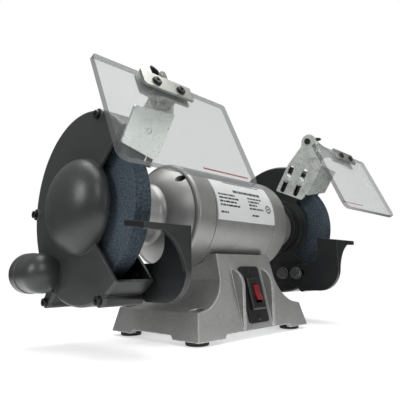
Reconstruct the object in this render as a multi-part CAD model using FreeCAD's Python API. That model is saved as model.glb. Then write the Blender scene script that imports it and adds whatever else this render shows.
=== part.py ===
"""Bench grinder with two 6 inch wheels on one motor, on a cast pedestal.

Millimetres. X runs along the spindle (+X at the operator's right), the operator
stands at -Y, and Z is up from the floor. The origin is on the floor under the
middle of the motor. Each side's pieces are drawn at +X and mirrored for the left.
Points named (y, z) are measured from the spindle axis unless they say floor.
"""
import FreeCAD
import Part
import math
import os

V = FreeCAD.Vector

# ---- driving dimensions -------------------------------------------------------
SPINDLE_HEIGHT = 140.4      # spindle axis above the floor
MOTOR_R = 62.0
MOTOR_WALL = 4.0
SHELL_HALF = 56.5           # half length of the middle motor shell
JOINT_GROOVE = 1.0          # groove left between the shell and each end bell
SKIRT_LENGTH = 25.0         # straight part of an end bell
NECK_R = 32.0
NECK_END = 146.0            # where an end bell's neck stops
WHEEL_R = 76.2
WHEEL_WIDTH = 19.0
WHEEL_BORE_R = 15.9
ARBOR_R = 6.35
SHAFT_R = 8.5
ROTOR_SHAFT_R = 10.5
ROTOR_R = 34.0
ROTOR_HALF = 32.0
AIR_GAP = 0.6
BEARING_R = 20.0
BEARING_WIDTH = 12.0
FLANGE_R = 25.4
FLANGE_WIDTH = 5.0
BLOTTER = 0.5
GUARD_R = 98.5
GUARD_WALL = 3.0
GUARD_DEPTH = 41.0          # inner guard, from its motor side to the cover
COVER_WALL = 3.0
DOME_R = 49.0
DOME_HEIGHT = 28.0
HUB_PLATE_R = 53.0          # part of the inner guard that stays inside its opening
PORT_R = 21.0
PORT_WALL = 3.0
PORT_Z = -65.0
PORT_START = 53.0           # y of the port's ball end
PORT_END = 84.5
PORT_LIP = 12.0             # length of the bead at the port's mouth
PORT_SINK = 9.5             # how far the tube is sunk in the cover's face
PAD_HEIGHT = 2.9            # bolting pads on the inner guard's motor side
SHEET = 2.5                 # bracket sheet thickness
SLOT_TILT = 30.0            # bracket slots lean forward from upright, degrees
BRACKET_SLOT = 44.0
BRACKET_SLOT_WIDTH = 9.0
SLOT_DROP = 2.0             # slot middles lie this far below the bolts
BRACKET_BOLT_R = 3.0
REST_THICK = 6.4
REST_BOLT_R = 4.0
REST_TRAVEL = 8.0
LENS_WIDTH = 155.0
LENS_HEIGHT = 100.0
LENS_THICK = 5.0
LENS_TILT = 24.2            # degrees from upright, bottom edge forward
BASE_HALF_X = 101.9
BASE_HALF_Y = 75.4
BASE_WALL = 5.0
FOOT_HEIGHT = 5.0
FOOT_R = 12.5
FOOT_X = 86.0
FOOT_Y = 57.0
BENCH_BOLT_R = 3.5
SLAB_TOP = 33.0
SADDLE_DROP = 45.4          # ends of the saddle lie this far below the spindle
FACE_SLOPE = 0.248          # the base's front and rear faces lean in, mm per mm

# ---- fits and clearances --------------------------------------------------------
FIT = 0.05                  # running and locating fits, on the radius
HOLE_CLEAR = 0.4            # a bolt in its clearance hole, on the radius
SLIDE_GAP = 0.2             # flat faces that slide or seat

# ---- places worked out from the dimensions --------------------------------------
SADDLE_TOP = SPINDLE_HEIGHT - SADDLE_DROP
BELL_START = SHELL_HALF + JOINT_GROOVE
SKIRT_END = BELL_START + SKIRT_LENGTH
RIM_END = SKIRT_END + 5.0
BELL_BASE = SKIRT_END + 29.0                # where the domed face meets the neck
BEARING_END = BELL_BASE - 4.0
GUARD_BACK = NECK_END + 3.5                 # motor side of the inner guard's plate
COVER_BACK = GUARD_BACK + GUARD_DEPTH
COVER_FACE = COVER_BACK + COVER_WALL
PAD_FACE = GUARD_BACK - PAD_HEIGHT
WHEEL_IN = GUARD_BACK + 13.4                # wheel's side towards the motor
WHEEL_OUT = WHEEL_IN + WHEEL_WIDTH
WHEEL_X = (WHEEL_IN + WHEEL_OUT) / 2.0
SHOULDER = WHEEL_IN - BLOTTER - FLANGE_WIDTH - 3.0
NUT_START = WHEEL_OUT + BLOTTER + FLANGE_WIDTH
NUT_HEIGHT = 9.0
SHAFT_END = NUT_START + NUT_HEIGHT + 3.0
STATOR_R = MOTOR_R - MOTOR_WALL - FIT
STATOR_BORE = ROTOR_R + AIR_GAP
TIE_BOLT_R = 2.2
TIE_CIRCLE = MOTOR_R - MOTOR_WALL - 4.0
PORT_X = COVER_FACE + PORT_R - PORT_SINK
REST_OUT = PAD_FACE - SLIDE_GAP             # tool rest web's guard side
REST_IN = REST_OUT - REST_THICK
BRACKET_OUT = PAD_FACE - SLIDE_GAP
BRACKET_IN = BRACKET_OUT - SHEET
LEAF_IN = BRACKET_OUT + SLIDE_GAP
LEAF_OUT = LEAF_IN + SHEET
REST_EDGE = WHEEL_R + 0.3                   # platform's edge in front of the axis
REST_FRONT = REST_EDGE + 28.5
REST_TOP_Z = -20.0
REST_SLOPE = 4.0                            # fall of the platform over its depth
PLATFORM_END = WHEEL_X + 21.1
REST_BOLTS = [(-16.5, -69.0), (-39.0, -69.0)]
COVER_SCREWS = [(-31.0, 88.0), (96.5, 2.0), (62.0, -95.5), (-41.5, -90.0)]
BOSS_R = 6.5
COVER_SCREW_R = 2.2
SLOT_DIR = V(0, -math.sin(math.radians(SLOT_TILT)), math.cos(math.radians(SLOT_TILT)))
BRACKET_BOLTS = [(-28.8, 76.2), (-51.2, 67.0)]
GUIDE = (-76.0, 105.0)       # bolt in the arm's curved slot
LOCK = (-67.0, 126.0)        # stud the shield tilts on
GUIDE_R = 3.0
LOCK_R = 2.5
LUG_R = 8.0                 # round of the arm's lug at the stud
WING_ANGLE = 148.0
WING_THICK = 3.0
WING_OUTLINE = [(0.0, 0.0), (2.0, 5.0), (6.0, 10.5), (15.5, 13.0), (16.5, 10.5), (8.5, 4.5), (7.0, 0.0)]
LENS_TOP = (-106.0, 104.2)
LENS_OFFSET = -3.2          # lens's middle lies this far inboard of the clamp
CLAMP_HALF = 29.0
CLAMP_HEIGHT = 15.0
CLAMP_SCREW_HALF = 14.0
CLAMP_SCREW_R = 2.0
SHIELD_RAISE = 28.0         # guide slot's reach, degrees raised
SHIELD_LOWER = 6.0          # and lowered
FACE_TILT = math.degrees(math.atan(FACE_SLOPE))
SWITCH_Z = 47.75
ROCKER_REST = 8.0


# ---- smaller sizes, piece by piece ------------------------------------------------
# base and plate
FIN_IN = 25.6
FIN_THICK = 4.4
ARCH_HEIGHT = 4.0  # relief between the corner pads
PLATE_BOTTOM = FOOT_HEIGHT + ARCH_HEIGHT
PLATE_TOP = PLATE_BOTTOM + 2.0
PLATE_SCREW_R = 1.8
MOTOR_SCREW_R = 3.0
GLAND = (45.0, 26.0)  # x and floor height of the cord gland
GLAND_R = 7.5
GLAND_BORE_R = 4.0
SPOT_FACE = 0.5  # the gland's flat seat stands this far out at its centre
# switch
SWITCH_WINDOW = (11.5, 16.5)
SWITCH_SCREW_Z = 27.5
SWITCH_SCREW_R = 1.7
SWITCH_HALF_X = 18.0
SWITCH_HALF_Z = 33.0
SWITCH_PLATE = 2.5
BEZEL_DEPTH = 7.0
ROCKER_HALF_X = 5.0
ROCKER_HALF_Z = 9.0
ROCKER_PIVOT_Y = -3.6
ROCKER_PIN_R = 1.2
# run capacitor
CAP_R = 16.0
CAP_Y = 24.0
CAP_Z = 36.0
CAP_HALF = 34.0
# motor and label
GUARD_SCREW_R = 2.5
GUARD_SCREW_CIRCLE = 24.0
LABEL_HALF = 55.0
LABEL_THICK = 0.5
# guard mouth and tool rest
MOUTH_SHIFT = -8.5  # the lower edge of the mouth lies this much below the 45 degree line
REST_LIP = 5.5  # platform thickness
REST_FLANGE = 5.0
# deflector
DEFLECT_LOW = (-60.6, 50.5)  # deflector's lower edge, just off the wheel
DEFLECT_HIGH = (-85.5, 86.8)
DEFLECT_END = WHEEL_X + WHEEL_WIDTH / 2 + 8.5
DEFLECT_SKEW = 5.0  # its lower edge drops this much at the fold and rises as much outboard
PUNCH_R = 3.2  # ring punched in the deflector


# ---- shapes used throughout ------------------------------------------------------
def rod(x0, x1, radius, y=0.0, z=0.0):
    """Cylinder along X, centred (y, z) from the spindle axis."""
    return Part.makeCylinder(radius, x1 - x0, V(x0, y, SPINDLE_HEIGHT + z), V(1, 0, 0))


def ring(x0, x1, r_in, r_out, y=0.0, z=0.0):
    return rod(x0, x1, r_out, y, z).cut(rod(x0 - 1, x1 + 1, r_in, y, z))


def turned(outline):
    """Solid of revolution about the spindle axis from edges or (x, r) points."""
    points = [V(x, 0, SPINDLE_HEIGHT + r) for x, r in outline]
    face = Part.Face(Part.makePolygon(points + points[:1]))
    return face.revolve(V(0, 0, SPINDLE_HEIGHT), V(1, 0, 0), 360)


def plate_yz(outline, x0, x1):
    """Flat plate across X from a (y, z) outline measured from the spindle axis."""
    points = [V(x0, y, SPINDLE_HEIGHT + z) for y, z in outline]
    face = Part.Face(Part.makePolygon(points + points[:1]))
    return face.extrude(V(x1 - x0, 0, 0))


def box(x0, x1, y0, y1, z0, z1):
    """Box between floor coordinates."""
    return Part.makeBox(x1 - x0, y1 - y0, z1 - z0, V(x0, y0, z0))


def upright(x, y, z0, z1, radius):
    return Part.makeCylinder(radius, z1 - z0, V(x, y, z0), V(0, 0, 1))


def hexagon(x0, x1, flats, y=0.0, z=0.0, bore=0.0):
    """Hexagonal prism along X, as a nut or a bolt head."""
    corner = flats / math.sqrt(3.0)
    angles = [math.radians(60 * i) for i in range(6)]
    outline = [(y + corner * math.cos(a), z + corner * math.sin(a)) for a in angles]
    head = plate_yz(outline, x0, x1)
    if bore > 0:
        head = head.cut(rod(x0 - 1, x1 + 1, bore, y, z))
    return head


def slot_cut(y, z, direction, length, width, x0, x1):
    """Round-ended slot through a YZ plate, centred (y, z) from the axis."""
    half = (length - width) / 2.0
    ends = [(y + s * half * direction.y, z + s * half * direction.z) for s in (-1, 1)]
    across = V(0, -direction.z, direction.y) * (width / 2.0)
    outline = []
    for (ey, ez), sign in ((ends[0], 1), (ends[0], -1), (ends[1], -1), (ends[1], 1)):
        outline.append((ey + sign * across.y, ez + sign * across.z))
    body = plate_yz(outline, x0, x1)
    for ey, ez in ends:
        body = body.fuse(rod(x0, x1, width / 2.0, ey, ez))
    return body


def fused(shapes):
    whole = shapes[0]
    for other in shapes[1:]:
        whole = whole.fuse(other)
    return whole.removeSplitter()


def on_side(shape, side):
    """The +X shape, or its mirror image for the left side."""
    if side > 0:
        return shape
    return shape.mirror(V(0, 0, 0), V(1, 0, 0))


def export(name, shapes):
    shape = shapes if not isinstance(shapes, list) else Part.makeCompound(shapes)
    shape.exportStep("parts/" + name + ".step")


# ---- base --------------------------------------------------------------------------
def base_front_face(bottom):
    """Front view of the pedestal: slab, concave flare, upright neck."""
    def p(x, z):
        return V(x, 0, z)
    slab_x = BASE_HALF_X - 5.9
    half = [Part.LineSegment(p(BASE_HALF_X, bottom), p(slab_x, SLAB_TOP)).toShape(),
            Part.LineSegment(p(slab_x, SLAB_TOP), p(slab_x - 16, SLAB_TOP + 3)).toShape(),
            Part.Arc(p(slab_x - 16, SLAB_TOP + 3), p(slab_x - 34, SLAB_TOP + 14.5),
                     p(slab_x - 44, SLAB_TOP + 33)).toShape(),
            Part.LineSegment(p(slab_x - 44, SLAB_TOP + 33), p(slab_x - 46, SADDLE_TOP)).toShape()]
    other = [edge.mirror(V(0, 0, 0), V(1, 0, 0)) for edge in half]
    top = Part.LineSegment(p(slab_x - 46, SADDLE_TOP), p(46 - slab_x, SADDLE_TOP)).toShape()
    foot = Part.LineSegment(p(BASE_HALF_X, bottom), p(-BASE_HALF_X, bottom)).toShape()
    wire = Part.Wire(Part.__sortEdges__(half + other + [top, foot]))
    return Part.Face(wire)


def base_side_block(bottom, inset):
    """Side view of the pedestal, as a block the width of the base."""
    def half_depth(z):
        return BASE_HALF_Y - FACE_SLOPE * (z - FOOT_HEIGHT) - inset
    outline = [(-half_depth(bottom), bottom), (half_depth(bottom), bottom),
               (half_depth(SADDLE_TOP), SADDLE_TOP), (-half_depth(SADDLE_TOP), SADDLE_TOP)]
    floor_points = [(y, z - SPINDLE_HEIGHT) for y, z in outline]
    return plate_yz(floor_points, -BASE_HALF_X, BASE_HALF_X)


def face_y(z):
    """y of the base's front face at a height above the floor."""
    return -(BASE_HALF_Y - FACE_SLOPE * (z - FOOT_HEIGHT))


def switch_place(shape):
    """Move a shape drawn on the plane y = 0, facing -Y, to the sloping front face."""
    shape = shape.copy()
    shape.rotate(V(0, 0, 0), V(1, 0, 0), -FACE_TILT)
    shape.translate(V(0, face_y(SWITCH_Z), SWITCH_Z))
    return shape


def corners(x, y):
    return [(sx * x, sy * y) for sx in (-1, 1) for sy in (-1, 1)]


def switch_fins():
    """Two ribs that keep the switch from being knocked."""
    top = 78.0
    knee = 58.0
    front = face_y(11.0) - 0.6
    edges = [Part.LineSegment(V(0, face_y(11) + 3, 11), V(0, front, 11)).toShape(),
             Part.LineSegment(V(0, front, 11), V(0, front, knee)).toShape(),
             Part.Arc(V(0, front, knee), V(0, front + 5.4, knee + 13.5),
                      V(0, face_y(top), top)).toShape(),
             Part.LineSegment(V(0, face_y(top), top), V(0, face_y(top) + 3, top)).toShape(),
             Part.LineSegment(V(0, face_y(top) + 3, top), V(0, face_y(11) + 3, 11)).toShape()]
    face = Part.Face(Part.Wire(edges))
    fins = []
    for start in (FIN_IN, -FIN_IN - FIN_THICK):
        fin = face.copy()
        fin.translate(V(start, 0, 0))
        fins.append(fin.extrude(V(FIN_THICK, 0, 0)))
    return fins


PLATE_SCREW_HOLES = corners(66.0, 44.0)
MOTOR_SCREW_PLACES = corners(34.0, 20.0)


def base_casting():
    solid = base_front_face(FOOT_HEIGHT).extrude(V(0, 2 * BASE_HALF_Y, 0))
    solid.translate(V(0, -BASE_HALF_Y, 0))
    solid = solid.common(base_side_block(FOOT_HEIGHT, 0))
    edges = [e for e in solid.Edges if e.BoundBox.ZMin > FOOT_HEIGHT + 1 or e.BoundBox.ZLength > 2]
    solid = solid.makeFillet(1.2, edges)
    inner = base_front_face(-BASE_WALL).makeOffset2D(-BASE_WALL)
    cavity = inner.extrude(V(0, 2 * BASE_HALF_Y, 0))
    cavity.translate(V(0, -BASE_HALF_Y, 0))
    cavity = cavity.common(base_side_block(-BASE_WALL, BASE_WALL))
    roof = SPINDLE_HEIGHT - MOTOR_R - BASE_WALL
    cavity = cavity.common(box(-BASE_HALF_X, BASE_HALF_X, -BASE_HALF_Y, BASE_HALF_Y, -1, roof))
    for x, y in corners(FOOT_X, FOOT_Y):
        cavity = cavity.cut(upright(x, y, -1, SLAB_TOP + 10, FOOT_R - 1.5))
    for x, y in PLATE_SCREW_HOLES:
        cavity = cavity.cut(upright(x, y, PLATE_TOP, SLAB_TOP + 20, 5.0))
    solid = solid.cut(cavity)
    solid = solid.fuse(switch_fins()).removeSplitter()
    return base_cuts(solid)


def arch(half, deep, along_x):
    """Relief between two corner pads, with slanted ends, right across the base."""
    z0 = FOOT_HEIGHT - 1
    z1 = FOOT_HEIGHT + ARCH_HEIGHT
    outline = [(-half - 1, z0), (half + 1, z0), (half - 3, z1), (3 - half, z1)]
    if along_x:
        points = [V(u, -deep, w) for u, w in outline]
        return Part.Face(Part.makePolygon(points + points[:1])).extrude(V(0, 2 * deep, 0))
    points = [V(-deep, u, w) for u, w in outline]
    return Part.Face(Part.makePolygon(points + points[:1])).extrude(V(2 * deep, 0, 0))


def base_cuts(solid):
    solid = solid.cut(arch(62.0, BASE_HALF_Y + 1, True))
    solid = solid.cut(arch(36.0, BASE_HALF_X + 1, False))
    solid = solid.cut(rod(-BASE_HALF_X, BASE_HALF_X, MOTOR_R + FIT))
    for x, y in corners(FOOT_X, FOOT_Y):
        solid = solid.cut(upright(x, y, 0, SLAB_TOP + 20, BENCH_BOLT_R))
        solid = solid.cut(upright(x, y, SLAB_TOP - 2, SLAB_TOP + 20, 8.0))
    for x, y in PLATE_SCREW_HOLES:
        solid = solid.cut(upright(x, y, PLATE_TOP - 1, PLATE_TOP + 12, PLATE_SCREW_R))
    for x, y in MOTOR_SCREW_PLACES:
        solid = solid.cut(upright(x, y, SADDLE_TOP - 35, SPINDLE_HEIGHT - 30, MOTOR_SCREW_R + HOLE_CLEAR))
    window = box(-SWITCH_WINDOW[0], SWITCH_WINDOW[0], -1, 14, -SWITCH_WINDOW[1], SWITCH_WINDOW[1])
    solid = solid.cut(switch_place(window))
    for s in (-1, 1):
        hole = Part.makeCylinder(SWITCH_SCREW_R, 12, V(0, -1, s * SWITCH_SCREW_Z), V(0, 1, 0))
        solid = solid.cut(switch_place(hole))
    rear = BASE_HALF_Y + 5
    hole = Part.makeCylinder(GLAND_R + FIT, 40, V(GLAND[0], rear, GLAND[1]), V(0, -1, 0))
    solid = solid.cut(hole)
    seat = -face_y(GLAND[1]) + SPOT_FACE
    return solid.cut(Part.makeCylinder(GLAND_R + 3.5, 20, V(GLAND[0], seat, GLAND[1]), V(0, 1, 0)))


def bottom_plate():
    plate = box(-BASE_HALF_X + 9, BASE_HALF_X - 9, -BASE_HALF_Y + 9, BASE_HALF_Y - 9,
                PLATE_BOTTOM, PLATE_TOP)
    for x, y in corners(FOOT_X, FOOT_Y):
        plate = plate.cut(upright(x, y, 0, 30, FOOT_R))
    for x, y in PLATE_SCREW_HOLES:
        plate = plate.cut(upright(x, y, 0, 30, PLATE_SCREW_R + HOLE_CLEAR))
    return plate


def bottom_plate_screws():
    screws = []
    for x, y in PLATE_SCREW_HOLES:
        shank = upright(x, y, PLATE_BOTTOM, PLATE_TOP + 8, PLATE_SCREW_R - FIT)
        screws.append(shank.fuse(upright(x, y, PLATE_BOTTOM - 2, PLATE_BOTTOM, 3.5)))
    return screws


def rubber_feet():
    feet = []
    for x, y in corners(FOOT_X, FOOT_Y):
        pad = Part.makeCone(FOOT_R - 1, FOOT_R, 1.0, V(x, y, 0), V(0, 0, 1))
        pad = pad.fuse(upright(x, y, 1.0, FOOT_HEIGHT, FOOT_R)).removeSplitter()
        feet.append(pad.cut(upright(x, y, -1, FOOT_HEIGHT + 1, BENCH_BOLT_R)))
    return feet


def motor_screws():
    screws = []
    roof = SPINDLE_HEIGHT - MOTOR_R - BASE_WALL
    for x, y in MOTOR_SCREW_PLACES:
        top = SPINDLE_HEIGHT - math.sqrt((MOTOR_R - MOTOR_WALL) ** 2 - y * y) - 1.0
        screw = upright(x, y, roof, top, MOTOR_SCREW_R)
        screws.append(screw.fuse(upright(x, y, roof - 4, roof, 5.5)))
    return screws


def motor_screw_holes(shell):
    for x, y in MOTOR_SCREW_PLACES:
        shell = shell.cut(upright(x, y, SADDLE_TOP - 35, SPINDLE_HEIGHT - 30, MOTOR_SCREW_R + FIT))
    return shell


# ---- switch, drawn flat and then laid on the sloping face ------------------------


def switch_plate():
    plate = box(-SWITCH_HALF_X, SWITCH_HALF_X, -SWITCH_PLATE, 0, -SWITCH_HALF_Z, SWITCH_HALF_Z)
    plate = plate.makeFillet(4.0, [e for e in plate.Edges if e.BoundBox.YLength > 1])
    bezel = box(-12.5, 12.5, -BEZEL_DEPTH, 0, -18.5, 18.5)
    bezel = bezel.makeChamfer(1.5, [e for e in bezel.Edges if e.BoundBox.YMax < 0.1 - BEZEL_DEPTH])
    plate = plate.fuse(bezel).removeSplitter()
    gap = 0.8
    plate = plate.cut(box(-ROCKER_HALF_X - gap, ROCKER_HALF_X + gap, -BEZEL_DEPTH - 1, 1,
                          -ROCKER_HALF_Z - 2.0, ROCKER_HALF_Z + 2.0))
    pin_hole = Part.makeCylinder(ROCKER_PIN_R + FIT, 2 * (ROCKER_HALF_X + 3),
                                 V(-ROCKER_HALF_X - 3, ROCKER_PIVOT_Y, 0), V(1, 0, 0))
    plate = plate.cut(pin_hole)
    for s in (-1, 1):
        hole = Part.makeCylinder(SWITCH_SCREW_R + HOLE_CLEAR, 9,
                                 V(0, -SWITCH_PLATE - 2, s * SWITCH_SCREW_Z), V(0, 1, 0))
        plate = plate.cut(hole)
    return switch_place(plate)


def switch_screws():
    screws = []
    for s in (-1, 1):
        z = s * SWITCH_SCREW_Z
        shank = Part.makeCylinder(SWITCH_SCREW_R - FIT, 11, V(0, -SWITCH_PLATE, z), V(0, 1, 0))
        head = Part.makeCone(3.6, 2.4, 2.0, V(0, -SWITCH_PLATE, z), V(0, -1, 0))
        cross = box(-2.2, 2.2, -SWITCH_PLATE - 3, -SWITCH_PLATE - 1.1, z - 0.45, z + 0.45)
        cross = cross.fuse(box(-0.45, 0.45, -SWITCH_PLATE - 3, -SWITCH_PLATE - 1.1, z - 2.2, z + 2.2))
        screws.append(switch_place(shank.fuse(head).removeSplitter().cut(cross)))
    return screws


def switch_rocker():
    """Red rocker with a shallow V face, resting in its off position."""
    outline = [(-9.4, ROCKER_HALF_Z), (-8.2, 0), (-9.4, -ROCKER_HALF_Z), (-6.4, -ROCKER_HALF_Z),
               (0.6, -4.5), (0.6, 4.5), (-6.4, ROCKER_HALF_Z)]
    points = [V(-ROCKER_HALF_X, y, z) for y, z in outline]
    body = Part.Face(Part.makePolygon(points + points[:1])).extrude(V(2 * ROCKER_HALF_X, 0, 0))
    pin = Part.makeCylinder(ROCKER_PIN_R, 2 * (ROCKER_HALF_X + 2.7),
                            V(-ROCKER_HALF_X - 2.7, ROCKER_PIVOT_Y, 0), V(1, 0, 0))
    body = body.fuse(pin).removeSplitter()
    body.rotate(V(0, ROCKER_PIVOT_Y, 0), V(1, 0, 0), -ROCKER_REST)
    return switch_place(body)


def switch_body():
    body = box(-10.5, 10.5, 2.2, 26, -15.5, 15.5)
    for x in (-6, 0, 6):
        body = body.fuse(box(x - 1.5, x + 1.5, 26, 32, -2, 2))
    return switch_place(body.removeSplitter())


# ---- inside the base -----------------------------------------------------------------


def run_capacitor():
    def along(x0, x1, r):
        return Part.makeCylinder(r, x1 - x0, V(x0, CAP_Y, CAP_Z), V(1, 0, 0))
    can = along(-CAP_HALF, CAP_HALF, CAP_R)
    can = can.fuse(along(CAP_HALF, CAP_HALF + 2, CAP_R - 3))
    for y in (-5, 5):
        can = can.fuse(box(CAP_HALF + 2, CAP_HALF + 9, CAP_Y + y - 3, CAP_Y + y + 3,
                           CAP_Z - 0.5, CAP_Z + 0.5))
    return can.removeSplitter()


def capacitor_clip():
    """Spring strap that holds the capacitor down on the bottom plate."""
    outer = Part.makeCylinder(CAP_R + 1.5, 14, V(-7, CAP_Y, CAP_Z), V(1, 0, 0))
    inner = Part.makeCylinder(CAP_R + FIT, 16, V(-8, CAP_Y, CAP_Z), V(1, 0, 0))
    foot = box(-7, 7, CAP_Y - CAP_R - 10, CAP_Y + CAP_R + 1.5, PLATE_TOP, PLATE_TOP + 1.5)
    leg = box(-7, 7, CAP_Y - 2, CAP_Y + 2, PLATE_TOP, CAP_Z - CAP_R)
    return outer.fuse(leg).cut(inner).fuse(foot).removeSplitter()


def terminal_block():
    block = box(-60, -20, -34, -16, PLATE_TOP, PLATE_TOP + 14)
    for i in range(4):
        x = -55 + 10 * i
        block = block.cut(upright(x, -25, PLATE_TOP + 7, PLATE_TOP + 20, 3.0))
    for i in range(3):
        x = -50 + 10 * i
        block = block.fuse(box(x - 0.8, x + 0.8, -34, -16, PLATE_TOP + 14, PLATE_TOP + 18))
    return block.removeSplitter()


def cord_gland():
    """Cable gland in the rear face; its bore is left empty."""
    x, z = GLAND
    wall = -face_y(z)
    def part(y0, y1, r):
        return Part.makeCylinder(r, y1 - y0, V(x, y0, z), V(0, 1, 0))
    gland = part(wall - BASE_WALL - 10, wall + 3, GLAND_R)
    gland = gland.fuse(part(wall + SPOT_FACE + FIT, wall + 6, GLAND_R + 3.0))
    gland = gland.fuse(Part.makeCone(GLAND_R + 1.5, GLAND_R - 1.0, 9, V(x, wall + 6, z), V(0, 1, 0)))
    gland = gland.fuse(part(wall - BASE_WALL - 10, wall - BASE_WALL - 5, GLAND_R + 3.0))
    return gland.removeSplitter().cut(part(0, wall + 30, GLAND_BORE_R))


# ---- motor ---------------------------------------------------------------------------
def motor_shell():
    shell = ring(-SHELL_HALF, SHELL_HALF, MOTOR_R - MOTOR_WALL, MOTOR_R)
    return motor_screw_holes(shell)


def tie_places():
    angles = [math.radians(45 + 90 * i) for i in range(4)]
    return [(TIE_CIRCLE * math.cos(a), TIE_CIRCLE * math.sin(a)) for a in angles]


def end_bell():
    """Cast bell: skirt, rolled rim, domed face, bearing seat and neck."""
    z = SPINDLE_HEIGHT
    register = MOTOR_R - MOTOR_WALL - FIT
    edges = [Part.LineSegment(V(BELL_START, 0, z), V(BELL_START, 0, z + MOTOR_R)),
             Part.LineSegment(V(BELL_START, 0, z + MOTOR_R), V(SKIRT_END, 0, z + MOTOR_R)),
             Part.Arc(V(SKIRT_END, 0, z + MOTOR_R), V(RIM_END - 1.4, 0, z + MOTOR_R - 1.6),
                      V(RIM_END, 0, z + MOTOR_R - 5)),
             Part.Arc(V(RIM_END, 0, z + MOTOR_R - 5), V(BELL_BASE - 12, 0, z + NECK_R + 15),
                      V(BELL_BASE - 3, 0, z + NECK_R + 3)),
             Part.Arc(V(BELL_BASE - 3, 0, z + NECK_R + 3), V(BELL_BASE + 1, 0, z + NECK_R + 0.6),
                      V(BELL_BASE + 6, 0, z + NECK_R)),
             Part.LineSegment(V(BELL_BASE + 6, 0, z + NECK_R), V(NECK_END, 0, z + NECK_R)),
             Part.LineSegment(V(NECK_END, 0, z + NECK_R), V(NECK_END, 0, z)),
             Part.LineSegment(V(NECK_END, 0, z), V(BELL_START, 0, z))]
    face = Part.Face(Part.Wire([e.toShape() for e in edges]))
    bell = face.revolve(V(0, 0, z), V(1, 0, 0), 360)
    wall = MOTOR_R - MOTOR_WALL
    seat = BEARING_END - 15.0
    bell = bell.cut(turned([(BELL_START - 1, 0), (BELL_START - 1, wall), (SKIRT_END - 2, wall),
                            (RIM_END - 2.5, wall - 5), (RIM_END + 7, wall - 17),
                            (RIM_END + 9.5, wall - 27), (RIM_END + 9.5, BEARING_R + 6),
                            (seat, BEARING_R + 6), (seat, 0)]))
    lip = ring(BELL_START - 5, BELL_START + 3, register - 3, register)
    for x, y in MOTOR_SCREW_PLACES:
        lip = lip.cut(upright(x, y, SADDLE_TOP - 35, SPINDLE_HEIGHT, MOTOR_SCREW_R + 1))
    bell = bell.fuse(lip)
    bell = bell.cut(rod(seat - 1, BEARING_END + 1.5, BEARING_R + FIT))
    bell = bell.cut(rod(seat, NECK_END + 1, SHAFT_R + 5))
    for y, zz in tie_places():
        post = rod(BELL_START - 5, RIM_END - 2, 4.6, y, zz).common(rod(0, NECK_END, register))
        bell = bell.fuse(post)
        bell = bell.cut(rod(BELL_START - 6, NECK_END, TIE_BOLT_R + HOLE_CLEAR, y, zz))
        bell = bell.cut(rod(RIM_END - 5, NECK_END, 4.4, y, zz))
    for y, zz in guard_screw_places():
        bell = bell.cut(rod(NECK_END - 12, NECK_END + 1, GUARD_SCREW_R, y, zz))
    return bell.removeSplitter()


def guard_screw_places():
    angles = [math.radians(90 + 120 * i) for i in range(3)]
    return [(GUARD_SCREW_CIRCLE * math.cos(a), GUARD_SCREW_CIRCLE * math.sin(a)) for a in angles]


def tie_bolts():
    """Four long bolts that draw the two end bells onto the shell, with nuts."""
    seat = RIM_END - 5
    bolts = []
    for y, z in tie_places():
        bolt = rod(-seat, seat + 3, TIE_BOLT_R, y, z)
        bolt = bolt.fuse(rod(-seat - 3, -seat, 3.9, y, z))
        bolts.append(bolt)
        bolts.append(hexagon(seat, seat + 3, 7.0, y, z, TIE_BOLT_R + FIT))
    return bolts


def stator_core():
    core = ring(-ROTOR_HALF - 2, ROTOR_HALF + 2, STATOR_BORE, STATOR_R)
    for y, z in tie_places():
        core = core.cut(rod(-ROTOR_HALF - 3, ROTOR_HALF + 3, TIE_BOLT_R + 0.8, y, z))
    slots = 24
    for i in range(slots):
        a = 2 * math.pi * i / slots
        r = STATOR_BORE + 6.0
        core = core.cut(rod(-ROTOR_HALF - 3, ROTOR_HALF + 3, 2.4, r * math.cos(a), r * math.sin(a)))
    return core


def stator_windings():
    """End turns of the coils, one ring at each end of the core."""
    start = ROTOR_HALF + 2 + SLIDE_GAP
    end_turn = turned([(start, STATOR_BORE + 3), (start + 16, STATOR_BORE + 4),
                       (start + 18, STATOR_BORE + 7), (start + 16, STATOR_R - 10),
                       (start, STATOR_R - 9)])
    return [end_turn, on_side(end_turn, -1)]


def bearing():
    """Deep-groove ball bearing, closed by its shields."""
    x1 = BEARING_END
    x0 = x1 - BEARING_WIDTH
    whole = ring(x0, x1, SHAFT_R + FIT, BEARING_R)
    for start in (x0 - 1, x1 - 0.8):
        whole = whole.cut(ring(start, start + 1.8, SHAFT_R + 4, BEARING_R - 3.2))
    return whole


def wave_washer():
    return ring(BEARING_END + 0.3, BEARING_END + 1.1, SHAFT_R + 6.5, BEARING_R - 0.5)


def label_plate():
    """Rating plate curved to the shell's front, with nothing written on it."""
    low = -6.5
    high = 44.0
    band = ring(-LABEL_HALF, LABEL_HALF, MOTOR_R + 0.02, MOTOR_R + LABEL_THICK)
    reach = 3 * MOTOR_R
    a = math.radians(180 - low)
    b = math.radians(180 - high)
    wedge = [(0, 0), (reach * math.cos(a), reach * math.sin(a)), (-reach, 0),
             (reach * math.cos(b), reach * math.sin(b))]
    return band.common(plate_yz(wedge, -LABEL_HALF, LABEL_HALF))


# ---- spindle ---------------------------------------------------------------------------
def shaft():
    half = [(0, 0), (0, ROTOR_SHAFT_R), (BEARING_END - BEARING_WIDTH - 1, ROTOR_SHAFT_R),
            (BEARING_END - BEARING_WIDTH - 1, SHAFT_R), (SHOULDER, SHAFT_R), (SHOULDER, ARBOR_R),
            (SHAFT_END - 1, ARBOR_R), (SHAFT_END, ARBOR_R - 1), (SHAFT_END, 0)]
    right = turned(half)
    return right.fuse(on_side(right, -1)).removeSplitter()


def rotor_core():
    return ring(-ROTOR_HALF, ROTOR_HALF, ROTOR_SHAFT_R + FIT, ROTOR_R)


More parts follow.
